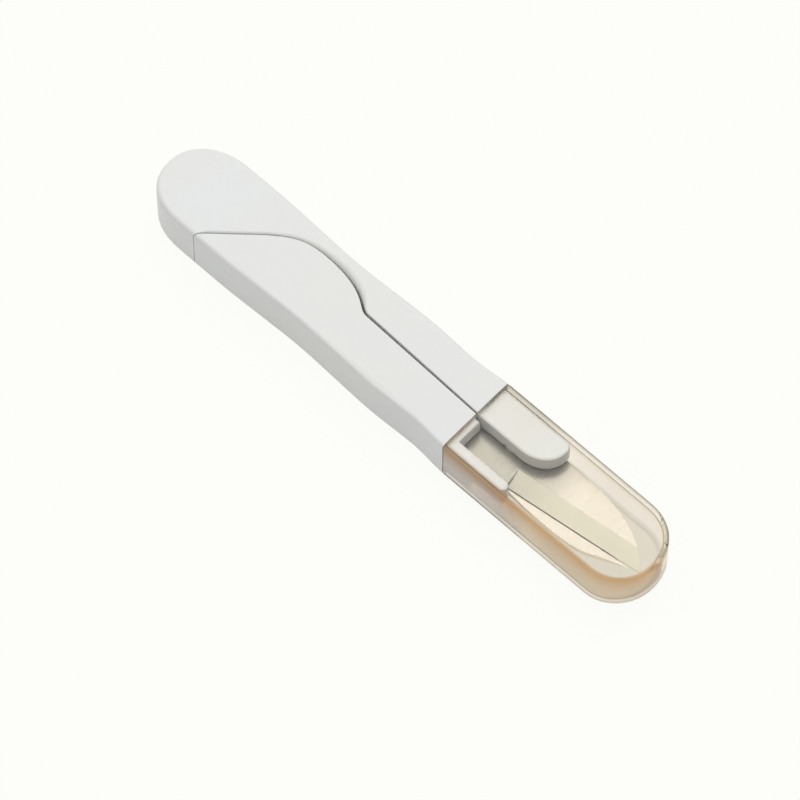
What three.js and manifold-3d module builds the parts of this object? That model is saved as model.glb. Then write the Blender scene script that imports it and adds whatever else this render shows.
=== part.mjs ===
// Pocket sewing scissors: two sprung handles, two riveted blades and a clear pull-off cap.
// Millimetres. X runs from the butt to the tip of the cap, Y across, Z up.
// The scissors lie flat on Z = 0, closed, with the cap on.

import * as THREE from 'three';
import { mergeVertices } from 'three/addons/utils/BufferGeometryUtils.js';
import Module from 'manifold-3d';

const wasm = await Module();
wasm.setup();

// Overall size
const LENGTH = 132;
const HEIGHT = 13.2;
const TIP_X = LENGTH / 2;
const BUTT_X = -LENGTH / 2;
const MOUTH_X = 17.9; // where the handles end and the cap begins
const MOUTH_GAP = 0.3;
const HANDLE_FRONT = MOUTH_X - MOUTH_GAP / 2;
const OVERRUN = 3; // how far plans run past the mouth before they are cut there
const PAST = 1; // how far a cutting body runs past what it cuts

// Facets
const CURVE_STEPS = 12;
const POST_SIDES = 20;
const TURNED_SIDES = 28;
const CAP_STEPS = 26;
const WELD = 1e-5;

// Plan of the closed handles: half widths at the swells and waists of the grip
const CAP_HALF = 9.65;
const GRIP = [
  { x: -54, value: 9.45 },
  { x: -44, value: 9.45 },
  { x: -22.5, value: 8.77 },
  { x: -2, value: 9.42 },
  { x: 9.5, value: 9.06 },
  { x: MOUTH_X, value: CAP_HALF },
];
const GRIP_STEP = 2.8; // longest facet along the grip
const BUTT_STEPS = 22;
const BUTT_SQUARENESS = { far: 2.0, near: 2.5 }; // on the +Y and -Y side; 2 would be an ellipse
const EDGE_ROUND = { low: 1.5, high: 0.9 }; // radii of the outer edges
const EDGE_STEPS = 5;
const FULL_WIDTH = [-CAP_HALF - PAST, CAP_HALF + PAST];
const FULL_HEIGHT = [-PAST, HEIGHT + PAST];

// The S-shaped split between the handles
const SPLIT_GAP = [
  { x: -50, value: 0.2 },
  { x: -36, value: 0.22 },
  { x: -20, value: 0.55 },
  { x: -13, value: 0.58 },
  { x: -6, value: 0.42 },
  { x: MOUTH_X, value: 0.4 },
];
const SPLIT_STEPS = 13;
const SPLIT = {
  mouthY: 0.3,
  bend: [-13, 1.35],
  rise: [-15.4, 1.45, -16.4, 5.5, -27.5, 5.5],
  fall: [-34, 5.5, -36.5, 3.5, -40, 0.8],
  slant: [-48.5, -6.7],
  exit: [-50.9, -8.8, -50.9, -10.5],
};

// Moulded tubs and their covers
const WALL = 2.0;
const SPLIT_WALL = 1.2;
const ROOF = 1.6;
const COVER = 1.5; // thickness
const FIT = 0.3; // side gap round a cover, a blade or a neck
const SEAT = 0.1; // gap under a piece that rests on another
const TUB_FRONT = HANDLE_FRONT - 1.75;
const MAIN_POCKET = [-16, TUB_FRONT];
const BUTT_POCKET = [BUTT_X, -37];
const LEVER_POCKET = [-41, TUB_FRONT];

// Blades: the lever's blade lies on top of the main one
const BLADE = 1.3; // thickness
const BLADE_GAP = 0.14;
const MAIN_BLADE_Z = 4.9;
const LEVER_BLADE_Z = MAIN_BLADE_Z + BLADE + BLADE_GAP;
const STACK_TOP = LEVER_BLADE_Z + BLADE;
const TANG_SLOT = { main: [2.1, 7.3], lever: [-6.1, -1.6] }; // in Y, through the front walls
const SLOT_REACH = [TUB_FRONT - PAST, HANDLE_FRONT + PAST];
const EDGE_LAND = 0.2; // thickness left at a cutting edge
const LEVER_OUTLINE = {
  tip: new THREE.Vector2(63.2, -1.4),
  choil: new THREE.Vector2(31, -5.3),
  choilLength: 1,
  tang: { end: -8, low: -5.8, high: -1.9 },
  shoulder: -0.3,
  spine: [36, 6.95],
  belly: [47, 7.3, 57.5, 6.2],
  grind: 4.3, // width of the ground bevel
};
const MAIN_OUTLINE = {
  tip: new THREE.Vector2(60.6, -1.6),
  choil: new THREE.Vector2(31, -2.2),
  tang: { end: -6, low: 2.9, high: 6.9 },
  heelEnd: 1.46 * Math.PI,
  spine: [36, -5.85],
  belly: [47, -6.4, 54.5, -5.6],
  grind: 2.6,
};

// Pivot rivet
const PIVOT = new THREE.Vector2(26.4, 3.2);
const RIVET = { shank: 1.5, head: 2.7, headHeight: 1.1, peen: 2.3, peenHeight: 0.8 };
const WASHER = { outer: 3.1, thickness: 0.7 };
const HEEL = 4.4; // radius of the lever blade round the pivot
const MAIN_HEEL = 8.3; // radius of the main blade's heel, inside the lever's swing

// Tang pegs: they hang from a tub's roof, pass through the tang and end in a boss of the cover
const MAIN_PEGS = [new THREE.Vector2(10.5, 4.55), new THREE.Vector2(-2, 4.85)];
const LEVER_PEGS = [new THREE.Vector2(9, -4.1), new THREE.Vector2(-4, -4.1)];
const BUTT_PEGS = [new THREE.Vector2(-46, 3.4), new THREE.Vector2(-56, -2)];
const PEG = 1.1;
const PEG_FIT = 0.3;
const BOSS = 2.05;
const PEG_END = 2.6;
const REAR_BOSS_TOP = HEIGHT - ROOF - 2;

// Cap
const CAP_END = 10; // length of the rounded end
const CAP_SQUARENESS = { far: 2.15, near: 2.15 };
const CAP_WALL = 0.9;
const CAP_CHIN = 3.6; // radius of the lower edge at the cap's end
const CAP_INSIDE_ROUND = 0.5;
const NECK_FIT = 0.2;
const NECK_HALF = CAP_HALF - CAP_WALL - NECK_FIT;
const NECK_BOTTOM = CAP_WALL + NECK_FIT;
const NECK_TOP = HEIGHT - CAP_WALL - NECK_FIT;
const NECK_EDGE = { width: 0.5, height: 0.5, segments: 2 };
const NECK_INNER = 0.65; // the main handle's share of the neck starts just past the split
const NECK_NOSE = 36.3;
const NOSE = { length: 7, pull: 3.3, side: 2.4, corner: 2 }; // how the neck's end is rounded in plan
const LOWER_NOSE = 33;
const WEB = { end: 20.6, sides: [1, 7.5] }; // ties the neck to the front wall behind the blade's heel
const RIM = { depth: 1.3, inner: -0.2 }; // the lever's share of the neck: a rim at the mouth
const RAIL = { inner: -6.1, end: 33 }; // and a rail beside the blade's shank
const SKIRT_END = 24; // the rail's lower part, behind the swing of the main blade
const ROOT_X = TUB_FRONT + 0.4; // where the neck is rooted in the front walls

// Opening spring
const WIRE = 0.35; // radius
const COIL = { radius: 1.9, turns: 3, pitch: 1.25, steps: 8, sides: 5 };
const LEG_Z = STACK_TOP - 0.7;
const LEG_REACH = -8; // where the long leg meets the lever
const LONG_LEG = { root: 6, bend: [-1, 2.2], endY: 1.75 };
const SHORT_LEG = { length: 3.6, steps: 3 };
const SPRING_WINDOW = { x: [LEG_REACH - 1.5, 8.5], y: [0, 3.4], z: [LEG_Z - 0.8, LEG_Z + 0.8] };

// Colours
const WHITE = 0xe4e6e4;
const STEEL = 0xd8d5ca;
const AMBER = 0xe9d8b6;

// Solids

function toSolid(geometry) {
  const plain = geometry.clone();
  plain.deleteAttribute('normal');
  plain.deleteAttribute('uv');
  const merged = mergeVertices(plain, WELD);
  return new wasm.Manifold(new wasm.Mesh({
    numProp: 3,
    vertProperties: new Float32Array(merged.attributes.position.array),
    triVerts: new Uint32Array(merged.index.array),
  }));
}

function toGeometry(solid) {
  const mesh = solid.getMesh();
  const geometry = new THREE.BufferGeometry();
  geometry.setAttribute('position', new THREE.BufferAttribute(mesh.vertProperties, mesh.numProp));
  geometry.setIndex(new THREE.BufferAttribute(mesh.triVerts, 1));
  geometry.computeVertexNormals();
  return geometry;
}

// A plan shape raised from bottom to top, with its edges rolled over if edge is given
function prism(shape, bottom, top, edge = { width: 0, height: 0, segments: 0 }) {
  const geometry = new THREE.ExtrudeGeometry(shape, {
    depth: top - bottom - 2 * edge.height,
    curveSegments: CURVE_STEPS,
    bevelEnabled: edge.segments > 0,
    bevelThickness: edge.height,
    bevelSize: edge.width,
    bevelOffset: -edge.width,
    bevelSegments: edge.segments,
  });
  geometry.translate(0, 0, bottom + edge.height);
  return toSolid(geometry);
}

// An outline raised from bottom to top; round gives the radii of its lower and upper edge at a point
function rolled(outline, bottom, top, round) {
  const count = outline.length;
  const arc = [...Array(EDGE_STEPS + 1).keys()].map((k) => (k * Math.PI) / 2 / EDGE_STEPS);
  const inset = (angle) => 1 - Math.sin(angle);
  const rise = (angle) => 1 - Math.cos(angle);
  const rings = [
    ...arc.map((angle) => ({ edge: 'low', inset: inset(angle), level: bottom, rise: rise(angle) })),
    ...arc.reverse().map((angle) => ({ edge: 'high', inset: inset(angle), level: top, rise: -rise(angle) })),
  ];
  const positions = [];
  const faces = [];
  for (const ring of rings) {
    offset(outline, (point) => ring.inset * round(point)[ring.edge], true).forEach((point, i) => {
      positions.push(point.x, point.y, ring.level + ring.rise * round(outline[i])[ring.edge]);
    });
  }
  for (let level = 0; level + 1 < rings.length; level += 1) {
    for (let i = 0; i < count; i += 1) {
      const a = level * count + i;
      const b = level * count + ((i + 1) % count);
      faces.push(a, b, b + count, a, b + count, a + count);
    }
  }
  const last = (rings.length - 1) * count;
  const flat = (first) => outline.map((_, i) => new THREE.Vector2().fromArray(positions, 3 * (first + i)));
  for (const [a, b, c] of THREE.ShapeUtils.triangulateShape(flat(0), [])) {
    faces.push(c, b, a);
  }
  for (const [a, b, c] of THREE.ShapeUtils.triangulateShape(flat(last), [])) {
    faces.push(last + a, last + b, last + c);
  }
  const geometry = new THREE.BufferGeometry();
  geometry.setAttribute('position', new THREE.Float32BufferAttribute(positions, 3));
  geometry.setIndex(faces);
  return toSolid(geometry);
}

function block(x, y, z) {
  const geometry = new THREE.BoxGeometry(x[1] - x[0], y[1] - y[0], z[1] - z[0]);
  geometry.translate((x[0] + x[1]) / 2, (y[0] + y[1]) / 2, (z[0] + z[1]) / 2);
  return toSolid(geometry);
}

function post(centre, radius, bottom, top) {
  const geometry = new THREE.CylinderGeometry(radius, radius, top - bottom, POST_SIDES);
  geometry.rotateX(Math.PI / 2);
  geometry.translate(centre.x, centre.y, (bottom + top) / 2);
  return toSolid(geometry);
}

// A profile of [radius, z] points turned about the vertical axis through the pivot
function turned(profile) {
  const points = profile.map(([radius, z]) => new THREE.Vector2(radius, z));
  const geometry = new THREE.LatheGeometry(points, TURNED_SIDES);
  geometry.rotateX(Math.PI / 2);
  geometry.translate(PIVOT.x, PIVOT.y, 0);
  return toSolid(geometry);
}

// Plans

// A line moved sideways at each point, to its left for a positive distance
function offset(points, distance, closed) {
  const count = points.length;
  return points.map((point, i) => {
    const before = points[closed ? (i + count - 1) % count : Math.max(i - 1, 0)];
    const after = points[closed ? (i + 1) % count : Math.min(i + 1, count - 1)];
    const along = after.clone().sub(before).normalize();
    const aside = distance(point);
    return new THREE.Vector2(point.x - along.y * aside, point.y + along.x * aside);
  });
}

// A value along X that changes smoothly between its stations
function between(stations, x) {
  const next = stations.findIndex((station) => station.x >= x);
  if (next < 0) {
    return stations[stations.length - 1].value;
  }
  const to = stations[Math.max(next, 1)];
  const from = stations[Math.max(next, 1) - 1];
  return THREE.MathUtils.lerp(from.value, to.value, THREE.MathUtils.smoothstep(x, from.x, to.x));
}

// A rounded end that runs from +half in Y, out to its reach beyond start, and back to -half
function roundEnd(start, reach, half, squareness, steps) {
  const points = [];
  for (let i = 1; i < steps; i += 1) {
    const angle = Math.PI * (0.5 - i / steps);
    const power = 2 / (angle > 0 ? squareness.far : squareness.near);
    const x = start + reach * Math.cos(angle) ** power;
    const y = half * Math.sign(angle) * Math.abs(Math.sin(angle)) ** power;
    points.push(new THREE.Vector2(x, y));
  }
  return points;
}

// Outline of both handles together, counterclockwise, running past the mouth to be cut there
function handleOutline(inset) {
  const start = GRIP[0].x;
  const steps = Math.ceil((MOUTH_X - start) / GRIP_STEP);
  const stations = [...Array(steps + 1).keys()].map((i) => start + (i * (MOUTH_X - start)) / steps);
  stations.push(MOUTH_X + OVERRUN);
  const lower = stations.map((x) => new THREE.Vector2(x, -between(GRIP, x)));
  const upper = stations.map((x) => new THREE.Vector2(x, between(GRIP, x))).reverse();
  const butt = roundEnd(start, BUTT_X - start, GRIP[0].value, BUTT_SQUARENESS, BUTT_STEPS);
  return offset([...lower, ...upper, ...butt], () => inset, true);
}

// The split line, from the mouth to where it leaves the side near the butt
function splitLine() {
  const path = new THREE.Path();
  path.moveTo(MOUTH_X + OVERRUN, SPLIT.mouthY);
  path.lineTo(...SPLIT.bend);
  path.bezierCurveTo(...SPLIT.rise);
  path.bezierCurveTo(...SPLIT.fall);
  path.lineTo(...SPLIT.slant);
  path.quadraticCurveTo(...SPLIT.exit);
  return path.getPoints(SPLIT_STEPS);
}

// Everything on one side of the split, at a distance from its wall
function sidePlan(side, distance) {
  const far = 2 * CAP_HALF;
  const sign = side === 'lever' ? 1 : -1;
  const line = offset(splitLine(), (point) => sign * (between(SPLIT_GAP, point.x) / 2 + distance), false);
  const last = line[line.length - 1];
  const corners = [new THREE.Vector2(last.x, -far)];
  if (side === 'main') {
    corners.push(new THREE.Vector2(BUTT_X - far, -far));
    corners.push(new THREE.Vector2(BUTT_X - far, far));
    corners.push(new THREE.Vector2(line[0].x, far));
  } else {
    corners.push(new THREE.Vector2(line[0].x, -far));
  }
  return new THREE.Shape([...line, ...corners]);
}

// The hollow of a tub between two X limits, shrunk by a clearance for what fills it
function pocket(side, [x0, x1], bottom, top, clearance = 0) {
  const inside = prism(new THREE.Shape(handleOutline(WALL + clearance)), bottom, top);
  const halves = prism(sidePlan(side, SPLIT_WALL + clearance), bottom - PAST, top + PAST);
  const limits = block([x0 + clearance, x1 - clearance], FULL_WIDTH, FULL_HEIGHT);
  return inside.intersect(halves).intersect(limits);
}

// Handles

function handleShell(side, pockets, pegs) {
  const behindMouth = block([BUTT_X - PAST, HANDLE_FRONT], FULL_WIDTH, FULL_HEIGHT);
  let shell = rolled(handleOutline(0), 0, HEIGHT, () => EDGE_ROUND)
    .intersect(prism(sidePlan(side, 0), ...FULL_HEIGHT))
    .intersect(behindMouth);
  for (const limits of pockets) {
    shell = shell.subtract(pocket(side, limits, -PAST, HEIGHT - ROOF));
  }
  for (const peg of pegs) {
    shell = shell.add(post(peg, PEG, PEG_END, HEIGHT - ROOF / 2));
  }
  return shell;
}

// Half of the neck that the cap slides over, with a rounded nose
function neckPlan(from, nose) {
  const shape = new THREE.Shape();
  shape.moveTo(from, NECK_INNER);
  shape.lineTo(nose - NOSE.length, NECK_INNER);
  const side = NECK_HALF - NOSE.corner;
  shape.bezierCurveTo(nose - NOSE.pull, NECK_INNER, nose, NECK_INNER + NOSE.side, nose, side);
  shape.quadraticCurveTo(nose, NECK_HALF, nose - NOSE.corner, NECK_HALF);
  shape.lineTo(from, NECK_HALF);
  return shape;
}

function mainHandle() {
  const neckBottom = STACK_TOP + SEAT;
  const neck = prism(neckPlan(ROOT_X, NECK_NOSE), neckBottom, NECK_TOP, NECK_EDGE);
  const web = block([ROOT_X, WEB.end], WEB.sides, [LEVER_BLADE_Z - SEAT / 2, neckBottom + PAST]);
  const rivetRoom = post(PIVOT, RIVET.head + FIT, neckBottom - PAST, neckBottom + RIVET.headHeight + FIT);
  const slot = block(SLOT_REACH, TANG_SLOT.main, [-PAST, MAIN_BLADE_Z + BLADE + SEAT]);
  const springWindow = block(SPRING_WINDOW.x, SPRING_WINDOW.y, SPRING_WINDOW.z);
  return handleShell('main', [MAIN_POCKET, BUTT_POCKET], [...MAIN_PEGS, ...BUTT_PEGS])
    .add(neck)
    .add(web)
    .subtract(rivetRoom)
    .subtract(slot)
    .subtract(springWindow);
}

function leverHandle() {
  const rim = new THREE.Shape();
  rim.moveTo(ROOT_X, -NECK_HALF);
  rim.lineTo(MOUTH_X + RIM.depth, -NECK_HALF);
  rim.lineTo(MOUTH_X + RIM.depth, RIM.inner);
  rim.lineTo(ROOT_X, RIM.inner);
  const railNose = (RAIL.inner + NECK_HALF) / 2;
  const rail = new THREE.Shape();
  rail.moveTo(ROOT_X, -NECK_HALF);
  rail.lineTo(RAIL.end - railNose, -NECK_HALF);
  rail.absarc(RAIL.end - railNose, RAIL.inner - railNose, railNose, -Math.PI / 2, Math.PI / 2, false);
  rail.lineTo(ROOT_X, RAIL.inner);
  const skirt = new THREE.Shape();
  skirt.moveTo(ROOT_X, -NECK_HALF);
  skirt.lineTo(SKIRT_END, -NECK_HALF);
  skirt.lineTo(SKIRT_END, RAIL.inner);
  skirt.lineTo(ROOT_X, RAIL.inner);
  const slot = block(SLOT_REACH, TANG_SLOT.lever, [-PAST, STACK_TOP + SEAT]);
  return handleShell('lever', [LEVER_POCKET], LEVER_PEGS)
    .add(prism(rim, STACK_TOP + SEAT, NECK_TOP, NECK_EDGE))
    .add(prism(rail, LEVER_BLADE_Z, NECK_TOP, NECK_EDGE))
    .add(prism(skirt, NECK_BOTTOM, STACK_TOP, NECK_EDGE))
    .subtract(slot);
}

// A flush cover with bosses that hold the pegs; a tongue closes the slot under the tang
function cover(side, limits, pegs, bossTop, slot = null) {
  let plate = pocket(side, limits, 0, COVER, FIT);
  if (slot) {
    const sides = [slot[0] + FIT, slot[1] - FIT];
    plate = plate.add(block([TUB_FRONT - FIT - PAST, HANDLE_FRONT], sides, [0, bossTop]));
  }
  for (const peg of pegs) {
    plate = plate.add(post(peg, BOSS, COVER / 2, bossTop));
  }
  for (const peg of pegs) {
    plate = plate.subtract(post(peg, PEG + PEG_FIT, PEG_END - SEAT, HEIGHT));
  }
  return plate;
}

function mainFrontCover() {
  const top = MAIN_BLADE_Z - SEAT;
  const neck = prism(neckPlan(HANDLE_FRONT + FIT, LOWER_NOSE), NECK_BOTTOM, top, NECK_EDGE);
  const sides = [TANG_SLOT.main[0] + FIT, TANG_SLOT.main[1] - FIT];
  const bridgeX = [HANDLE_FRONT - PAST, HANDLE_FRONT + PAST];
  const bridge = block(bridgeX, sides, [NECK_BOTTOM + NECK_EDGE.height, top]);
  return cover('main', MAIN_POCKET, MAIN_PEGS, top, TANG_SLOT.main)
    .add(neck)
    .add(bridge)
    .subtract(post(PIVOT, WASHER.outer + FIT, 0, HEIGHT));
}

function mainRearCover() {
  return cover('main', BUTT_POCKET, BUTT_PEGS, REAR_BOSS_TOP);
}

function leverCover() {
  return cover('lever', LEVER_POCKET, LEVER_PEGS, LEVER_BLADE_Z - SEAT, TANG_SLOT.lever);
}

// Blades

// The wedge ground away along a cutting edge, whose blade lies to the left of start to end
function grind(start, end, width, faceZ, edgeZ) {
  const beyond = PAST * Math.sign(faceZ - edgeZ);
  const slope = (faceZ - edgeZ) / width;
  const section = new THREE.Shape();
  section.moveTo(-PAST, edgeZ - slope * PAST);
  section.lineTo(width, faceZ);
  section.lineTo(width, faceZ + beyond);
  section.lineTo(-PAST, faceZ + beyond);
  const along = end.clone().sub(start);
  const depth = along.length() + OVERRUN;
  const geometry = new THREE.ExtrudeGeometry(section, { depth, bevelEnabled: false });
  const u = along.normalize();
  const across = new THREE.Vector3(-u.y, u.x, 0);
  const up = new THREE.Vector3(0, 0, 1);
  geometry.applyMatrix4(new THREE.Matrix4().makeBasis(across, up, new THREE.Vector3(u.x, u.y, 0)));
  geometry.translate(start.x, start.y, 0);
  return toSolid(geometry);
}

function holes(solid, pegs) {
  let drilled = solid.subtract(post(PIVOT, RIVET.shank + FIT, 0, HEIGHT));
  for (const peg of pegs) {
    drilled = drilled.subtract(post(peg, PEG + PEG_FIT, 0, HEIGHT));
  }
  return drilled;
}

function leverBlade() {
  const { tip, choil, choilLength, tang, shoulder, spine, belly } = LEVER_OUTLINE;
  const root = HANDLE_FRONT + FIT;
  const shape = new THREE.Shape();
  shape.moveTo(tip.x, tip.y);
  shape.lineTo(choil.x, choil.y);
  shape.lineTo(choil.x - choilLength, tang.low);
  shape.lineTo(tang.end, tang.low);
  shape.lineTo(tang.end, tang.high);
  shape.lineTo(root, tang.high);
  shape.lineTo(root, shoulder);
  shape.quadraticCurveTo(PIVOT.x - HEEL, shoulder, PIVOT.x - HEEL, PIVOT.y);
  shape.absarc(PIVOT.x, PIVOT.y, HEEL, Math.PI, Math.PI / 2, true);
  shape.lineTo(...spine);
  shape.bezierCurveTo(...belly, tip.x, tip.y);
  const blank = prism(shape, LEVER_BLADE_Z, STACK_TOP);
  const bevel = grind(choil, tip, LEVER_OUTLINE.grind, STACK_TOP, LEVER_BLADE_Z + EDGE_LAND);
  return holes(blank.subtract(bevel), LEVER_PEGS);
}

function mainBlade() {
  const { tip, choil, tang, heelEnd, spine, belly } = MAIN_OUTLINE;
  const front = choil.x - PIVOT.x;
  const heelStart = Math.PI + Math.asin((PIVOT.y - tang.low) / MAIN_HEEL);
  const shape = new THREE.Shape();
  shape.moveTo(tip.x, tip.y);
  shape.lineTo(choil.x, choil.y);
  shape.lineTo(choil.x, PIVOT.y);
  shape.absarc(PIVOT.x, PIVOT.y, front, 0, Math.PI / 2, false);
  shape.lineTo(MOUTH_X, tang.high);
  shape.lineTo(tang.end, tang.high);
  shape.lineTo(tang.end, tang.low);
  shape.absarc(PIVOT.x, PIVOT.y, MAIN_HEEL, heelStart, heelEnd, false);
  shape.lineTo(...spine);
  shape.bezierCurveTo(...belly, tip.x, tip.y);
  const blank = prism(shape, MAIN_BLADE_Z, MAIN_BLADE_Z + BLADE);
  const bevel = grind(tip, choil, MAIN_OUTLINE.grind, MAIN_BLADE_Z, MAIN_BLADE_Z + BLADE - EDGE_LAND);
  return holes(blank.subtract(bevel), MAIN_PEGS);
}

function pivotRivet() {
  const chamfer = 0.3;
  const headBottom = STACK_TOP + SEAT;
  const headTop = headBottom + RIVET.headHeight;
  const peenTop = MAIN_BLADE_Z - WASHER.thickness - 2 * SEAT;
  const peenBottom = peenTop - RIVET.peenHeight;
  return turned([
    [0, peenBottom],
    [RIVET.peen - chamfer, peenBottom],
    [RIVET.peen, peenBottom + chamfer],
    [RIVET.peen, peenTop],
    [RIVET.shank, peenTop],
    [RIVET.shank, headBottom],
    [RIVET.head, headBottom],
    [RIVET.head, headTop - chamfer],
    [RIVET.head - chamfer, headTop],
    [0, headTop],
  ]);
}

function rivetWasher() {
  const top = MAIN_BLADE_Z - SEAT;
  const bottom = top - WASHER.thickness;
  const hole = post(PIVOT, RIVET.shank + FIT, bottom - PAST, top + PAST);
  return post(PIVOT, WASHER.outer, bottom, top).subtract(hole);
}

// Opening spring: a torsion coil on the front peg, one leg on the main wall, one reaching to the lever

function springPath() {
  const centre = MAIN_PEGS[0];
  const low = centre.y - COIL.radius;
  const top = LEG_Z + COIL.turns * COIL.pitch;
  const points = [];
  for (let i = SHORT_LEG.steps; i > 0; i -= 1) {
    points.push(new THREE.Vector3(centre.x + (SHORT_LEG.length * i) / SHORT_LEG.steps, low, top));
  }
  const count = COIL.turns * COIL.steps;
  for (let i = 0; i <= count; i += 1) {
    const angle = -Math.PI / 2 - (2 * Math.PI * i) / COIL.steps;
    const x = centre.x + COIL.radius * Math.cos(angle);
    const y = centre.y + COIL.radius * Math.sin(angle);
    points.push(new THREE.Vector3(x, y, top - (COIL.pitch * i) / COIL.steps));
  }
  points.push(new THREE.Vector3(LONG_LEG.root, low, LEG_Z));
  points.push(new THREE.Vector3(...LONG_LEG.bend, LEG_Z));
  points.push(new THREE.Vector3(LEG_REACH, LONG_LEG.endY, LEG_Z));
  return points;
}

// A round wire along a line of points, closed at both ends
function wire(points, radius, sides) {
  const positions = [];
  const faces = [];
  let normal = new THREE.Vector3(0, 0, 1);
  points.forEach((point, i) => {
    const before = points[Math.max(i - 1, 0)];
    const after = points[Math.min(i + 1, points.length - 1)];
    const tangent = after.clone().sub(before).normalize();
    normal = normal.clone().addScaledVector(tangent, -normal.dot(tangent)).normalize();
    const side = tangent.clone().cross(normal);
    for (let k = 0; k < sides; k += 1) {
      const angle = (2 * Math.PI * k) / sides;
      const at = point.clone()
        .addScaledVector(normal, radius * Math.cos(angle))
        .addScaledVector(side, radius * Math.sin(angle));
      positions.push(at.x, at.y, at.z);
    }
  });
  for (let i = 0; i + 1 < points.length; i += 1) {
    for (let k = 0; k < sides; k += 1) {
      const a = i * sides + k;
      const b = i * sides + ((k + 1) % sides);
      faces.push(a, b, b + sides, a, b + sides, a + sides);
    }
  }
  const last = (points.length - 1) * sides;
  for (let k = 1; k + 1 < sides; k += 1) {
    faces.push(0, k + 1, k);
    faces.push(last, last + k, last + k + 1);
  }
  const geometry = new THREE.BufferGeometry();
  geometry.setAttribute('position', new THREE.Float32BufferAttribute(positions, 3));
  geometry.setIndex(faces);
  return geometry;
}

// Least gap between turns of the wire, on points at least half a turn apart
function leastGap(points) {
  const apart = (Math.PI * COIL.radius) + WIRE;
  const lengths = [0];
  for (let i = 1; i < points.length; i += 1) {
    lengths.push(lengths[i - 1] + points[i].distanceTo(points[i - 1]));
  }
  let least = Infinity;
  for (let i = 0; i < points.length; i += 1) {
    for (let k = i + 1; k < points.length; k += 1) {
      if (lengths[k] - lengths[i] > apart) {
        least = Math.min(least, points[i].distanceTo(points[k]) - 2 * WIRE);
      }
    }
  }
  return least;
}

function openingSpring() {
  const points = springPath();
  console.log(`opening_spring least gap to itself: ${leastGap(points).toFixed(2)} mm`);
  return toSolid(wire(points, WIRE, COIL.sides));
}

// Cap

function capOutline(inset) {
  const half = CAP_HALF - inset;
  const back = MOUTH_X - OVERRUN;
  const front = TIP_X - CAP_END;
  const corners = [[back, -half], [front, -half]].map(([x, y]) => new THREE.Vector2(x, y));
  const end = roundEnd(front, CAP_END - inset, half, CAP_SQUARENESS, CAP_STEPS).reverse();
  return [...corners, ...end, new THREE.Vector2(front, half), new THREE.Vector2(back, half)];
}

function cap() {
  const mouth = MOUTH_X + MOUTH_GAP / 2;
  const chin = (x) => THREE.MathUtils.smoothstep(x, TIP_X - CAP_END, TIP_X);
  const outerRound = ({ x }) => ({
    low: THREE.MathUtils.lerp(EDGE_ROUND.low, CAP_CHIN, chin(x)),
    high: EDGE_ROUND.high,
  });
  const innerRound = ({ x }) => ({
    low: THREE.MathUtils.lerp(CAP_INSIDE_ROUND, CAP_CHIN - CAP_WALL, chin(x)),
    high: CAP_INSIDE_ROUND,
  });
  const outside = rolled(capOutline(0), 0, HEIGHT, outerRound)
    .intersect(block([mouth, TIP_X + PAST], FULL_WIDTH, FULL_HEIGHT));
  return outside.subtract(rolled(capOutline(CAP_WALL), CAP_WALL, HEIGHT - CAP_WALL, innerRound));
}

// Assembly

const PLASTIC = { color: WHITE, roughness: 0.42, metalness: 0 };
const GROUND_STEEL = { color: STEEL, roughness: 0.28, metalness: 1 };
const TINTED = { color: AMBER, roughness: 0.08, metalness: 0, transparent: true, opacity: 0.35 };

const PIECES = [
  ['main_handle', mainHandle, PLASTIC],
  ['main_front_cover', mainFrontCover, PLASTIC],
  ['main_rear_cover', mainRearCover, PLASTIC],
  ['main_blade', mainBlade, GROUND_STEEL],
  ['lever_handle', leverHandle, PLASTIC],
  ['lever_cover', leverCover, PLASTIC],
  ['lever_blade', leverBlade, GROUND_STEEL],
  ['pivot_rivet', pivotRivet, GROUND_STEEL],
  ['rivet_washer', rivetWasher, GROUND_STEEL],
  ['opening_spring', openingSpring, GROUND_STEEL],
  ['cap', cap, TINTED],
];

const scissors = new THREE.Group();
scissors.name = 'pocket_scissors';
for (const [name, make, finish] of PIECES) {
  const mesh = new THREE.Mesh(toGeometry(make()), new THREE.MeshStandardMaterial(finish));
  mesh.name = name;
  scissors.add(mesh);
}

export default scissors;
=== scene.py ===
"""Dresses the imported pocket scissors: rounded plastic, ground steel, spring wire and an amber cap."""

import math

import bmesh
import bpy
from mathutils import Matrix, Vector

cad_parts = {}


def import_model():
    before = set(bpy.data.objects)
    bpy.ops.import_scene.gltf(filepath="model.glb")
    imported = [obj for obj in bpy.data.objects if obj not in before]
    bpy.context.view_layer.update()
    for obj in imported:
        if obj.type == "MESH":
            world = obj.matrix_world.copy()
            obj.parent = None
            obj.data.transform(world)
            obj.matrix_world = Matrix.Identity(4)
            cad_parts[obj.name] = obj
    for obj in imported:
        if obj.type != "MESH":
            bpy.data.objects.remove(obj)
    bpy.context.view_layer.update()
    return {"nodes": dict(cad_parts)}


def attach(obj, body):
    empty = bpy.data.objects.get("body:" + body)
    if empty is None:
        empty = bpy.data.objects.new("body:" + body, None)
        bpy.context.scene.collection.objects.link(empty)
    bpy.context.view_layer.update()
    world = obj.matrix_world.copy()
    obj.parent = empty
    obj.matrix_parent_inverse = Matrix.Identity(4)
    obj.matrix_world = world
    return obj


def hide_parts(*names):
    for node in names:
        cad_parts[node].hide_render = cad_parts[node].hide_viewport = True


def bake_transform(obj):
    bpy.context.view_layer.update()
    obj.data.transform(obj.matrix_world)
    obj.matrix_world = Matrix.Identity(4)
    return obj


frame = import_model()

# Blender works in metres. Places and radii on the part are in millimetres until MM multiplies them.
MM = 0.001
UP = Vector((0, 0, 1))

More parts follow.
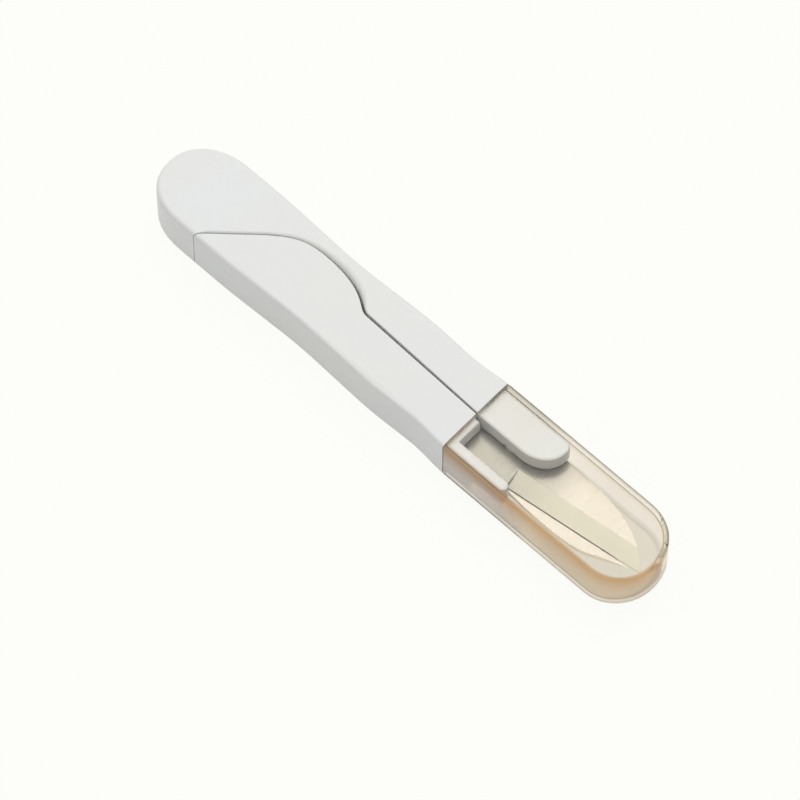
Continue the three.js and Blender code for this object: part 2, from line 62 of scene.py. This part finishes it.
# Camera in metres, fitted to the photograph's outline
CAMERA_AZIMUTH = math.radians(43.19)
CAMERA_ELEVATION = math.radians(64.0)
CAMERA_DISTANCE = 1.5
CAMERA_LENS = 338.4
CAMERA_SENSOR = 36
CAMERA_NEAR = 0.1
CAMERA_FAR = 20
AIM = Vector((0, 0, 6 * MM))
AIM_LEFT = 2.0 * MM
AIM_DOWN = 4.93 * MM

# Stage in metres: a floor just under the part, a pale dome and one large soft lamp
FLOOR_HALF = 3.0
FLOOR_DROP = 0.05 * MM
FLOOR_CORNERS = ((-1, -1), (1, -1), (1, 1), (-1, 1))
FLOOR_COLOUR = (0.8, 0.8, 0.79, 1)
FLOOR_DARK = (0.78, 0.78, 0.775, 1)
FLOOR_GLOW = 0.94
BACKDROP = (1.0, 1.0, 0.965, 1)
DOME_COLOUR = (1, 1, 1, 1)
DOME = 0.58
LAMP_SIZE = 1.45
LAMP_PLACE = (-0.4, 0.5, 1.3)
LAMP_POWER = 10.6

# Noise: the values that are spread over a whole range, its waves for each millimetre, and how much
# fine detail the grinding marks have
NOISE_LOW = 0.3
NOISE_HIGH = 0.7
FLOOR_CLOUDS = 0.02
PLASTIC_CLOUDS = 0.05
PLASTIC_GLOSS = 0.7
STEEL_CLOUDS = 0.25
CAP_CLOUDS = 0.2
CAP_SHEEN = 0.15
CAP_WAVES = 0.12
STEEL_MARK_DETAIL = 0.65

# Bumps: how strongly they turn the light, and the depth of the waves in the cap
PLASTIC_BUMP = 0.35
STEEL_BUMP = 0.4
CAP_BUMP = 0.05
CAP_WAVE_DEPTH = 0.05

# Cap plastic: absorption for each metre, and what light does at its surface
CAP_TINT = (0.6, 0.4, 0.0, 1)
CAP_DENSITY = 15.0
CAP_ROUGH = (0.0, 0.02)
CAP_BENDING = 1.03
CAP_CLARITY = 0.97
CAP_HAZED = 0.4
CAP_COAT = 0.1
CAP_COAT_ROUGH = 0.03
CAP_COAT_BENDING = 1.49
CAP_SHADOW_PASS = 0.55

# Cap colours: its clear top; painted shade on its base, its foot, its lever-side wall and its far rim;
# a painted amber glow at the top of its walls; and painted light on its wall near the mouth
CAP_CLEAR = (0.985, 0.975, 0.95, 1)
CAP_CLEARER = (0.995, 0.985, 0.965, 1)
# Painted shade: the cap's base is darkened for the shadow on the floor beneath it
CAP_BASE_PAINTED_SHADE = (0.78, 0.735, 0.645, 1)
# Painted shade: the walls darken towards their foot, where the contact shadow falls
CAP_FOOT_PAINTED_SHADE = (0.52, 0.47, 0.4, 1)
# Painted shade: the lever's side wall is darkened for the shaded floor and base seen through it
CAP_WALL_PAINTED_SHADE = (0.81, 0.725, 0.635, 1)
# Painted light: near the mouth the wall is lighter, to offset the shaded rail seen through it
CAP_MOUTH_PAINTED_LIGHT = (0.97, 0.915, 0.855, 1)
# Painted glow: amber light piped through the top of the lever's side wall
CAP_AMBER_PAINTED_GLOW = (0.77, 0.53, 0.31, 1)
# The painted amber glow near the mouth, where the shaded rail lies behind the wall
CAP_MOUTH_AMBER_PAINTED_GLOW = (0.72, 0.52, 0.33, 1)
# Painted shade: a dark olive line along the top of the far wall, standing in for the dark line that
# refraction draws at its rounded edge
CAP_RIM_PAINTED_SHADE = (0.3, 0.28, 0.19, 1)

# Where each cap colour begins and where it is full: along X for reach, Y for side and Z for height
BASE_HEIGHT = (1.6, 1.0)
FOOT_HEIGHT = (2.6, 1.4)
# Over this reach towards the mouth the lever's side wall is hazier and painted lighter
MOUTH_HAZE_AND_LIGHT_REACH = (46.0, 27.0)
AMBER_HEIGHT = (5.0, 12.4)
AMBER_FADE = 1.7
BROWN_REACH = (34.0, 31.0)
RIM_HEIGHT = (10.0, 12.4)
RIM_SIDE = (-1.0, 4.0)

# The walls have their full painted shade and glow on the lever's side, away from the lamp, and
# AMBER_FAR of it on the other. The lever's side reaches round the tip, because Y counts as END_TURN
# less there.
AMBER_SIDE = (1.0, -6.0)
AMBER_FAR = 0.5
END_REACH = (56.0, 66.0)
END_TURN = 11.0

# A face is a level one at the first value of its normal's Z, and a wall at the second
STEEP = (0.97, 0.8)

# Points closer than WELD are one, facets flatter than FLAT are joined, and edges steeper than SHARP
# are rounded
WELD = 1e-6
FLAT = math.radians(0.8)
SHARP = math.radians(35)
ROUND_PROFILE = 0.5

# Shading: edges steeper than CREASE stay sharp, and so do the borders of large level faces
CREASE = math.radians(40)
LEVEL = 0.9999
LEVEL_AREA = 20 * MM * MM
LARGE_FACES_LEAD = 100

# The top of a handle is level and above TOP_FROM. Radius of its edge along the split, as (X, radius).
TOP_FROM = 13.0
MAIN_SPLIT_ROUND = [
    (-50.3, 0.1),
    (-48.9, 0.5),
    (-38, 0.5),
    (-30, 0.9),
    (-23, 1.3),
    (-16.5, 1.2),
    (-14.2, 0.45),
    (-13.2, 0.2),
    (17, 0.15),
]
LEVER_SPLIT_ROUND = [(-50.1, 0.1), (-48.7, 0.35), (-38, 0.3), (-32, 0.12), (17, 0.12)]

# Where along a blade the darker colour of its shank gives way to the blade's own colour
SHANK = (34.0, 43.0)

# The lever blade's cutting edge is lifted from its choil on
LEVER_CHOIL = Vector((31.0, -5.3))
LEVER_TIP = Vector((63.2, -1.4))
LEVER_GRIND = 4.3
CHOIL_MARGIN = 0.1
LIFT_AT_CHOIL = 0.2
LIFT_AT_TIP = 0.5

# The main blade is slimmed towards its tip
MAIN_CHOIL = Vector((31.0, -2.2))
MAIN_TIP = Vector((60.6, -1.6))
SLIM_FROM = 51.0
SLIM_RATE = 0.075
SLIM_MOST = 0.6

# A blade's bevel slopes between these angles, kept as cosines. Faces smaller than this area are
# rounded edges.
BEVEL_STEEPEST = math.cos(math.radians(30))
BEVEL_FLATTEST = math.cos(math.radians(5))
BEVEL_AREA = 5 * MM * MM

# The sides of a blade are the faces whose normal rises less than this
UPRIGHT = 0.5

# Opening spring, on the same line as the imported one
SPRING_CENTRE = Vector((10.5, 4.55))
SPRING_RADIUS = 1.9
SPRING_TURNS = 3
SPRING_PITCH = 1.25
SPRING_WIRE = 0.35
SPRING_STEPS = 28
SPRING_SIDES = 10
SPRING_CREASE = math.radians(50)
SHORT_LEG = 3.6
SHORT_LEG_SHARES = (1, 0.75, 0.5, 0.25)
LONG_LEG = [(6, 2.65), (2.5, 2.5), (-1, 2.2), (-4.5, 1.95), (-8, 1.75)]
LONG_LEG_Z = 6.94


# Nodes

def new_material(name):
    material = bpy.data.materials.new(name)
    material.use_nodes = True
    material.node_tree.nodes.clear()
    return material


def feed(tree, socket, value):
    """Links an output to a socket, or sets the socket to a plain value."""
    if isinstance(value, bpy.types.NodeSocket):
        tree.links.new(value, socket)
    else:
        socket.default_value = value


def add(tree, kind, settings=None, **inputs):
    """Adds a node. Inputs are named as its sockets are, with underscores for spaces."""
    node = tree.nodes.new(kind)
    for key, value in (settings or {}).items():
        setattr(node, key, value)
    for key, value in inputs.items():
        feed(tree, node.inputs[key.replace("_", " ")], value)
    return node


def millimetres(tree, stretch=(1, 1, 1)):
    """Object coordinates in millimetres, stretched along the axes for grain."""
    place = add(tree, "ShaderNodeTexCoord").outputs["Object"]
    scale = tuple(share / MM for share in stretch)
    return add(tree, "ShaderNodeMapping", Vector=place, Scale=scale).outputs["Vector"]


def split_axes(tree, vector):
    """The X, Y and Z of a vector, by name."""
    return add(tree, "ShaderNodeSeparateXYZ", Vector=vector).outputs


def noise(tree, vector, scale, detail=2.0, roughness=0.5):
    node = add(
        tree,
        "ShaderNodeTexNoise",
        Vector=vector,
        Scale=scale,
        Detail=detail,
        Roughness=roughness,
    )
    return node.outputs["Fac"]


def spread(tree, value, low, high, start=NOISE_LOW, stop=NOISE_HIGH):
    """Low where a value is at its start, high where it is at its stop, and even in between."""
    node = add(
        tree,
        "ShaderNodeMapRange",
        Value=value,
        From_Min=start,
        From_Max=stop,
        To_Min=low,
        To_Max=high,
    )
    return node.outputs["Result"]


def tint(tree, value, first, second):
    """A colour between two, by a noise value."""
    node = add(tree, "ShaderNodeValToRGB", Fac=value)
    stops = zip(node.color_ramp.elements, (NOISE_LOW, NOISE_HIGH), (first, second))
    for element, position, colour in stops:
        element.position = position
        element.color = colour
    return node.outputs["Color"]


def bump(tree, height, strength, depth):
    node = add(tree, "ShaderNodeBump", Height=height, Strength=strength, Distance=depth * MM)
    return node.outputs["Normal"]


def maths(tree, operation, first, second=0.0, clamp=True):
    node = add(tree, "ShaderNodeMath", {"operation": operation, "use_clamp": clamp})
    for socket, value in zip(node.inputs, (first, second)):
        feed(tree, socket, value)
    return node.outputs["Value"]


def blend(tree, share, first, second):
    """A colour between two colours or colour sockets."""
    node = add(tree, "ShaderNodeMix", {"data_type": "RGBA"}, Factor=share)
    colours = [socket for socket in node.inputs if socket.type == "RGBA"]
    for socket, value in zip(colours, (first, second)):
        feed(tree, socket, value)
    return next(socket for socket in node.outputs if socket.type == "RGBA")


def mix_shaders(tree, share, first, second):
    node = add(tree, "ShaderNodeMixShader", Fac=share)
    for socket, shader in zip(node.inputs[1:], (first, second)):
        tree.links.new(shader, socket)
    return node.outputs["Shader"]


# Materials

def moulded_plastic(name, light, dark, grain, depth, rough):
    """White moulded plastic: faint cloudy tone, fine mould grain and uneven gloss."""
    material = new_material(name)
    tree = material.node_tree
    place = millimetres(tree)
    shader = add(
        tree,
        "ShaderNodeBsdfPrincipled",
        Base_Color=tint(tree, noise(tree, place, PLASTIC_CLOUDS, detail=3), dark, light),
        Roughness=spread(tree, noise(tree, place, PLASTIC_GLOSS, detail=4), *rough),
        Normal=bump(tree, noise(tree, place, grain, detail=2), PLASTIC_BUMP, depth),
    )
    add(tree, "ShaderNodeOutputMaterial", Surface=shader.outputs["BSDF"])
    return material


def ground_steel(name, light, dark, stretch, rough, depth, shank=None):
    """Steel with grinding marks drawn out along one axis; a blade's shank can have a darker colour."""
    material = new_material(name)
    tree = material.node_tree
    grain = millimetres(tree, stretch)
    marks = noise(tree, grain, 1.0, detail=5, roughness=STEEL_MARK_DETAIL)
    place = millimetres(tree)
    colour = tint(tree, noise(tree, place, STEEL_CLOUDS, detail=2), dark, light)
    if shank is not None:
        along = split_axes(tree, place)["X"]
        colour = blend(tree, spread(tree, along, 0.0, 1.0, *SHANK), shank, colour)
    shader = add(
        tree,
        "ShaderNodeBsdfPrincipled",
        Base_Color=colour,
        Metallic=1.0,
        Roughness=spread(tree, marks, *rough),
        Normal=bump(tree, marks, STEEL_BUMP, depth),
    )
    add(tree, "ShaderNodeOutputMaterial", Surface=shader.outputs["BSDF"])
    return material


def cap_colour(tree, place):
    """The cap's colour, with its painted shade, glow and light, and its haze, both by the place on it
    and by how steep the face is.
    """
    spot = split_axes(tree, place)
    normal = add(tree, "ShaderNodeNewGeometry").outputs["Normal"]
    level = maths(tree, "ABSOLUTE", split_axes(tree, normal)["Z"])
    steep = spread(tree, level, 0.0, 1.0, *STEEP)

    def grows(axis, limits):
        """From nothing to full between two places along an axis."""
        return spread(tree, spot[axis], 0.0, 1.0, *limits)

    # The painted wall colours are full on the lever's side, away from the lamp, and weaker on the far
    # side
    past = spread(tree, spot["X"], 0.0, END_TURN, *END_REACH)
    turned = maths(tree, "SUBTRACT", spot["Y"], past, clamp=False)
    side = spread(tree, turned, AMBER_FAR, 1.0, *AMBER_SIDE)
    near = maths(tree, "MULTIPLY", side, steep)

    cloud = tint(tree, noise(tree, place, CAP_CLOUDS, detail=3), CAP_CLEAR, CAP_CLEARER)
    # Painted shade on the cap's base
    flat = blend(tree, grows("Z", BASE_HEIGHT), cloud, CAP_BASE_PAINTED_SHADE)
    # Near the mouth the wall is painted lighter, to offset the shaded rail seen through it
    by_mouth = grows("X", MOUTH_HAZE_AND_LIGHT_REACH)
    # Painted shade on the lever's side wall, giving way to painted light near the mouth
    painted_wall_tone = blend(tree, by_mouth, CAP_WALL_PAINTED_SHADE, CAP_MOUTH_PAINTED_LIGHT)
    # Painted shade towards the foot of the walls
    lower = blend(tree, grows("Z", FOOT_HEIGHT), painted_wall_tone, CAP_FOOT_PAINTED_SHADE)
    # Painted amber glow at the top of the walls, with its own tone near the mouth
    upper = blend(tree, grows("X", BROWN_REACH), CAP_AMBER_PAINTED_GLOW, CAP_MOUTH_AMBER_PAINTED_GLOW)
    rise = maths(tree, "POWER", grows("Z", AMBER_HEIGHT), AMBER_FADE)
    walls = blend(tree, near, flat, blend(tree, rise, lower, upper))
    # Painted shade along the top of the far wall
    edge = maths(tree, "MULTIPLY", grows("Z", RIM_HEIGHT), grows("Y", RIM_SIDE))
    rim = maths(tree, "MULTIPLY", edge, steep)
    return blend(tree, rim, walls, CAP_RIM_PAINTED_SHADE), maths(tree, "MULTIPLY", near, by_mouth)


def clear_amber(name):
    """Clear plastic, faintly tinted, with a painted amber glow deepest at the top of the lever's side
    wall, and painted shade and light on its walls.
    """
    material = new_material(name)
    tree = material.node_tree
    place = millimetres(tree)
    colour, haze = cap_colour(tree, place)
    plastic = add(
        tree,
        "ShaderNodeBsdfPrincipled",
        Base_Color=colour,
        Roughness=spread(tree, noise(tree, place, CAP_SHEEN, detail=2), *CAP_ROUGH),
        IOR=CAP_BENDING,
        Transmission_Weight=spread(tree, haze, CAP_CLARITY, CAP_HAZED),
        Coat_Weight=CAP_COAT,
        Coat_Roughness=CAP_COAT_ROUGH,
        Coat_IOR=CAP_COAT_BENDING,
        Normal=bump(tree, noise(tree, place, CAP_WAVES, detail=1), CAP_BUMP, CAP_WAVE_DEPTH),
    )
    gap = add(tree, "ShaderNodeBsdfTransparent", Color=CAP_CLEAR)
    shadow = add(tree, "ShaderNodeLightPath").outputs["Is Shadow Ray"]
    passing = maths(tree, "MULTIPLY", shadow, CAP_SHADOW_PASS)
    volume = add(tree, "ShaderNodeVolumeAbsorption", Color=CAP_TINT, Density=CAP_DENSITY)
    add(
        tree,
        "ShaderNodeOutputMaterial",
        Surface=mix_shaders(tree, passing, plastic.outputs["BSDF"], gap.outputs["BSDF"]),
        Volume=volume.outputs["Volume"],
    )
    return material


# Pieces

def link_object(name, data):
    piece = bpy.data.objects.new(name, data)
    bpy.context.scene.collection.objects.link(piece)
    return piece


def shade_smooth(mesh, crease):
    for face in mesh.polygons:
        face.use_smooth = True
    mesh.set_sharp_from_angle(angle=crease)


def ramp(value, stations):
    """A value read off straight lines between (place, value) stations."""
    for (x0, y0), (x1, y1) in zip(stations, stations[1:]):
        if value <= x1:
            share = max(0.0, (value - x0) / (x1 - x0))
            return y0 + (y1 - y0) * share
    return stations[-1][1]


def joined_shape(node):
    """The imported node's solid, with the facets of each flat face joined."""
    shape = bmesh.new()
    shape.from_mesh(frame["nodes"][node].data)
    bmesh.ops.remove_doubles(shape, verts=shape.verts, dist=WELD)
    bmesh.ops.dissolve_limit(shape, angle_limit=FLAT, verts=shape.verts, edges=shape.edges)
    shape.verts.index_update()
    return shape


def is_corner(edge):
    return edge.is_manifold and edge.calc_face_angle() > SHARP


def round_corners(shape, radius, segments):
    """Rounds every sharp edge of a solid alike."""
    bmesh.ops.bevel(
        shape,
        geom=[edge for edge in shape.edges if is_corner(edge)],
        offset=radius * MM,
        segments=segments,
        profile=ROUND_PROFILE,
        affect="EDGES",
        clamp_overlap=True,
    )
    bmesh.ops.remove_doubles(shape, verts=shape.verts, dist=WELD)
    mesh = bpy.data.meshes.new("rounded")
    shape.to_mesh(mesh)
    return mesh


def rounding_arc(loop, radius, segments):
    """Points from the top face down to the wall, in place of one corner of the top."""
    spot = loop.vert.co
    before = (spot - loop.link_loop_prev.vert.co).normalized()
    after = (loop.link_loop_next.vert.co - spot).normalized()
    inward = [UP.cross(before), UP.cross(after)]
    inset = (inward[0] + inward[1]) / (1 + inward[0].dot(inward[1])) * radius
    angles = [math.pi / 2 * step / segments for step in range(segments + 1)]
    return [
        spot + inset * (1 - math.sin(angle)) - UP * radius * (1 - math.cos(angle))
        for angle in angles
    ]


def round_split(shape, stations, segments):
    """Rounds the sharp edges of a handle's level top, by a radius that varies along X."""
    level = [face for face in shape.faces if face.normal.z > LEVEL]
    high = [face for face in level if face.verts[0].co.z > TOP_FROM * MM]
    top = max(high, key=lambda face: face.calc_area())
    points = [vert.co.copy() for vert in shape.verts]
    arcs = {}
    for loop in top.loops:
        if is_corner(loop.edge) and is_corner(loop.link_loop_prev.edge):
            radius = ramp(loop.vert.co.x / MM, stations) * MM
            arcs[loop.vert.index] = range(len(points), len(points) + segments + 1)
            points += rounding_arc(loop, radius, segments)

    def arc(vert):
        """The points that stand for one point, from the top down to the wall."""
        return arcs.get(vert.index, [vert.index] * (segments + 1))

    faces = [[arc(vert)[0 if face is top else -1] for vert in face.verts] for face in shape.faces]
    for loop in top.loops:
        if is_corner(loop.edge):
            first, second = arc(loop.vert), arc(loop.link_loop_next.vert)
            for step in range(segments):
                strip = (first[step], first[step + 1], second[step + 1], second[step])
                corners = list(dict.fromkeys(strip))
                if len(corners) > 2:
                    faces.append(corners)
    kept = sorted({point for face in faces for point in face})
    place = {point: order for order, point in enumerate(kept)}
    mesh = bpy.data.meshes.new("rounded")
    mesh.from_pydata(
        [points[point] for point in kept],
        [],
        [[place[point] for point in face] for face in faces],
    )
    return mesh


def dress(node, body, material, radius=0.15, segments=2, split=None):
    """Puts a rounded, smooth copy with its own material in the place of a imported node."""
    shape = joined_shape(node)
    if split:
        mesh = round_split(shape, split, segments)
    else:
        mesh = round_corners(shape, radius, segments)
    shape.free()
    mesh.name = node + "_fine"
    shade_smooth(mesh, CREASE)
    for face in mesh.polygons:
        if abs(face.normal.z) > LEVEL and face.area > LEVEL_AREA:
            for corner in face.loop_indices:
                mesh.edges[mesh.loops[corner].edge_index].use_edge_sharp = True
    mesh.materials.append(material)
    piece = link_object(node + "_fine", mesh)
    weighted = piece.modifiers.new("weighted_normals", "WEIGHTED_NORMAL")
    weighted.keep_sharp = True
    weighted.weight = LARGE_FACES_LEAD
    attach(piece, body)
    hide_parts(node)
    return piece


def lifted_edge(x, y):
    """The lever blade's Y, with its cutting edge lifted and its bevel squeezed up to the flat."""
    if x < LEVER_CHOIL.x - CHOIL_MARGIN:
        return y
    along = (LEVER_TIP - LEVER_CHOIL).normalized()
    inside = along.x * (y - LEVER_CHOIL.y) - along.y * (x - LEVER_CHOIL.x)
    share = (x - LEVER_CHOIL.x) / (LEVER_TIP.x - LEVER_CHOIL.x)
    lift = LIFT_AT_CHOIL + (LIFT_AT_TIP - LIFT_AT_CHOIL) * share
    return y + lift * min(1.0, max(0.0, 1 - inside / LEVER_GRIND))


def slimmed_tip(x, y):
    """The main blade's Y, with its back drawn in to the cutting edge towards the tip."""
    slope = (MAIN_TIP.y - MAIN_CHOIL.y) / (MAIN_TIP.x - MAIN_CHOIL.x)
    edge = MAIN_CHOIL.y + slope * (x - MAIN_CHOIL.x)
    share = min(SLIM_MOST, max(0.0, (x - SLIM_FROM) * SLIM_RATE))
    return edge + (y - edge) * (1 - share) if y < edge else y


def recut(piece, moved):
    """Moves a blade's points along Y."""
    for vertex in piece.data.vertices:
        vertex.co.y = moved(vertex.co.x / MM, vertex.co.y / MM) * MM
    piece.data.update()


def paint(piece, material, chosen):
    """Gives the chosen faces of a piece another material."""
    piece.data.materials.append(material)
    index = len(piece.data.materials) - 1
    for face in piece.data.polygons:
        if chosen(face):
            face.material_index = index


def is_bevel(face):
    """True for the ground slope beside a cutting edge."""
    return BEVEL_STEEPEST < abs(face.normal.z) < BEVEL_FLATTEST and face.area > BEVEL_AREA


def is_side(face):
    """True for the upright faces round a blade."""
    return abs(face.normal.z) < UPRIGHT


def spring_points():
    """The wire's line: the short leg, the coil downwards and the long leg."""
    low = SPRING_CENTRE.y - SPRING_RADIUS
    top = LONG_LEG_Z + SPRING_TURNS * SPRING_PITCH
    points = [
        Vector((SPRING_CENTRE.x + SHORT_LEG * share, low, top)) for share in SHORT_LEG_SHARES
    ]
    for step in range(SPRING_TURNS * SPRING_STEPS + 1):
        turns = step / SPRING_STEPS
        angle = -math.pi / 2 - 2 * math.pi * turns
        x = SPRING_CENTRE.x + SPRING_RADIUS * math.cos(angle)
        y = SPRING_CENTRE.y + SPRING_RADIUS * math.sin(angle)
        points.append(Vector((x, y, top - SPRING_PITCH * turns)))
    points += [Vector((x, y, LONG_LEG_Z)) for x, y in LONG_LEG]
    return points


def wire_mesh(name, points, radius, sides):
    """A round wire along a line of points, closed with a flat face at both ends."""
    shape = bmesh.new()
    rings = []
    normal = UP
    for index, point in enumerate(points):
        ahead = points[min(index + 1, len(points) - 1)]
        along = (ahead - points[max(index - 1, 0)]).normalized()
        normal = (normal - along * normal.dot(along)).normalized()
        across = along.cross(normal)
        ring = []
        for side in range(sides):
            angle = 2 * math.pi * side / sides
            place = point + (normal * math.cos(angle) + across * math.sin(angle)) * radius
            ring.append(shape.verts.new(place * MM))
        rings.append(ring)
    for first, second in zip(rings, rings[1:]):
        for side in range(sides):
            after = (side + 1) % sides
            shape.faces.new((first[side], first[after], second[after], second[side]))
    shape.faces.new(reversed(rings[0]))
    shape.faces.new(rings[-1])
    bmesh.ops.recalc_face_normals(shape, faces=shape.faces)
    mesh = bpy.data.meshes.new(name)
    shape.to_mesh(mesh)
    shape.free()
    shade_smooth(mesh, SPRING_CREASE)
    return mesh


def opening_spring(material):
    mesh = wire_mesh("opening_spring_fine", spring_points(), SPRING_WIRE, SPRING_SIDES)
    mesh.materials.append(material)
    piece = link_object("opening_spring_fine", mesh)
    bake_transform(piece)
    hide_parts("opening_spring")


HANDLE = moulded_plastic(
    "handle_plastic",
    light=(0.785, 0.805, 0.80, 1),
    dark=(0.80, 0.79, 0.76, 1),
    grain=9.0,
    depth=0.02,
    rough=(0.36, 0.46),
)
COVER = moulded_plastic(
    "cover_plastic",
    light=(0.78, 0.79, 0.78, 1),
    dark=(0.75, 0.76, 0.755, 1),
    grain=4.0,
    depth=0.05,
    rough=(0.55, 0.68),
)
POLISHED = {
    "light": (0.39, 0.36, 0.315, 1),
    "dark": (0.38, 0.35, 0.305, 1),
    "stretch": (4.0, 0.12, 1.0),
    "rough": (0.25, 0.28),
    "depth": 0.0002,
}
BLADE = ground_steel("blade_steel", shank=(0.25, 0.24, 0.21, 1), **POLISHED)
STRIP = ground_steel("strip_steel", **POLISHED)
# The ground bevel: grinding marks across the blade, and a lighter, yellower colour than the flat,
# painted for how the slope catches the light
BEVEL = ground_steel(
    "blade_bevel",
    light=(0.535, 0.51, 0.42, 1),
    dark=(0.515, 0.49, 0.405, 1),
    stretch=(0.12, 4.0, 1.0),
    rough=(0.3, 0.34),
    depth=0.001,
    shank=(0.45, 0.43, 0.365, 1),
)
# Painted light: the main blade's upright sides are rough like a stamped edge, and coloured far lighter
# than steel so they don't show as a dark shaded line
SIDE_PAINTED_LIGHT = ground_steel(
    "blade_side_painted_light",
    light=(0.97, 0.93, 0.85, 1),
    dark=(0.93, 0.89, 0.81, 1),
    stretch=(1.0, 1.0, 6.0),
    rough=(0.55, 0.62),
    depth=0.0005,
)
RIVET = ground_steel(
    "rivet_steel",
    light=(0.68, 0.68, 0.67, 1),
    dark=(0.6, 0.6, 0.59, 1),
    stretch=(3.0, 3.0, 0.4),
    rough=(0.25, 0.4),
    depth=0.01,
)
SPRING = ground_steel(
    "spring_steel",
    light=(0.62, 0.62, 0.62, 1),
    dark=(0.52, 0.52, 0.53, 1),
    stretch=(0.5, 4.0, 4.0),
    rough=(0.25, 0.42),
    depth=0.01,
)
CAP = clear_amber("cap_plastic")

dress("main_handle", "main", HANDLE, segments=5, split=MAIN_SPLIT_ROUND)
dress("lever_handle", "lever", HANDLE, segments=5, split=LEVER_SPLIT_ROUND)
dress("main_front_cover", "main", COVER)
dress("main_rear_cover", "main", COVER)
dress("lever_cover", "lever", COVER)
main_blade = dress("main_blade", "main", STRIP, radius=0.04, segments=1)
recut(main_blade, slimmed_tip)
paint(main_blade, BEVEL, is_bevel)
# The main blade's sides get painted light
paint(main_blade, SIDE_PAINTED_LIGHT, is_side)
lever_blade = dress("lever_blade", "lever", BLADE, radius=0.04, segments=1)
recut(lever_blade, lifted_edge)
paint(lever_blade, BEVEL, is_bevel)
dress("pivot_rivet", "main", RIVET, radius=0.08)
dress("rivet_washer", "main", RIVET, radius=0.08)
dress("cap", "cap", CAP, radius=0.12)
opening_spring(SPRING)


# Stage

def seen_directly(tree, share=1.0):
    """How far the camera, straight or by way of metal and glass, sees the white of the backdrop."""
    path = add(tree, "ShaderNodeLightPath").outputs
    mirrored = maths(tree, "MAXIMUM", path["Is Camera Ray"], path["Is Glossy Ray"])
    either = maths(tree, "MAXIMUM", mirrored, path["Is Transmission Ray"])
    scattered = maths(tree, "MINIMUM", path["Diffuse Depth"], 1.0)
    unscattered = maths(tree, "SUBTRACT", 1.0, scattered)
    return maths(tree, "MULTIPLY", maths(tree, "MULTIPLY", either, unscattered), share)


def floor():
    mesh = bpy.data.meshes.new("floor")
    corners = [(x * FLOOR_HALF, y * FLOOR_HALF, -FLOOR_DROP) for x, y in FLOOR_CORNERS]
    mesh.from_pydata(corners, [], [(0, 1, 2, 3)])
    material = new_material("floor")
    tree = material.node_tree
    paper = noise(tree, millimetres(tree), FLOOR_CLOUDS)
    matt = add(tree, "ShaderNodeBsdfDiffuse", Color=tint(tree, paper, FLOOR_DARK, FLOOR_COLOUR))
    glow = add(tree, "ShaderNodeEmission", Color=BACKDROP, Strength=1.0)
    seen = seen_directly(tree, FLOOR_GLOW)
    shader = mix_shaders(tree, seen, matt.outputs["BSDF"], glow.outputs["Emission"])
    add(tree, "ShaderNodeOutputMaterial", Surface=shader)
    mesh.materials.append(material)
    link_object("floor", mesh)


def world():
    made = bpy.data.worlds.new("studio")
    bpy.context.scene.world = made
    made.use_nodes = True
    tree = made.node_tree
    tree.nodes.clear()
    dome = add(tree, "ShaderNodeBackground", Color=DOME_COLOUR, Strength=DOME)
    white = add(tree, "ShaderNodeBackground", Color=BACKDROP, Strength=1.0)
    seen = seen_directly(tree)
    shader = mix_shaders(tree, seen, dome.outputs["Background"], white.outputs["Background"])
    add(tree, "ShaderNodeOutputWorld", Surface=shader)


def place_facing(name, data, location, direction):
    """Puts a lamp or camera at a location, looking along a direction."""
    placed = link_object(name, data)
    placed.location = location
    placed.rotation_mode = "QUATERNION"
    placed.rotation_quaternion = direction.to_track_quat("-Z", "Y")
    return placed


def lamp():
    data = bpy.data.lights.new("softbox", "AREA")
    data.shape = "SQUARE"
    data.size = LAMP_SIZE
    data.energy = LAMP_POWER
    place_facing("softbox", data, LAMP_PLACE, -Vector(LAMP_PLACE))


def camera():
    data = bpy.data.cameras.new("camera")
    data.sensor_width = CAMERA_SENSOR
    data.lens = CAMERA_LENS
    data.clip_start = CAMERA_NEAR
    data.clip_end = CAMERA_FAR
    level = math.cos(CAMERA_ELEVATION)
    back = Vector((
        math.sin(CAMERA_AZIMUTH) * level,
        -math.cos(CAMERA_AZIMUTH) * level,
        math.sin(CAMERA_ELEVATION),
    ))
    right = Vector((math.cos(CAMERA_AZIMUTH), math.sin(CAMERA_AZIMUTH), 0))
    up = back.cross(right)
    aim = AIM - right * AIM_LEFT - up * AIM_DOWN
    bpy.context.scene.camera = place_facing("camera", data, aim + back * CAMERA_DISTANCE, -back)


floor()
world()
lamp()
camera()
bpy.context.scene.view_settings.view_transform = "Standard"
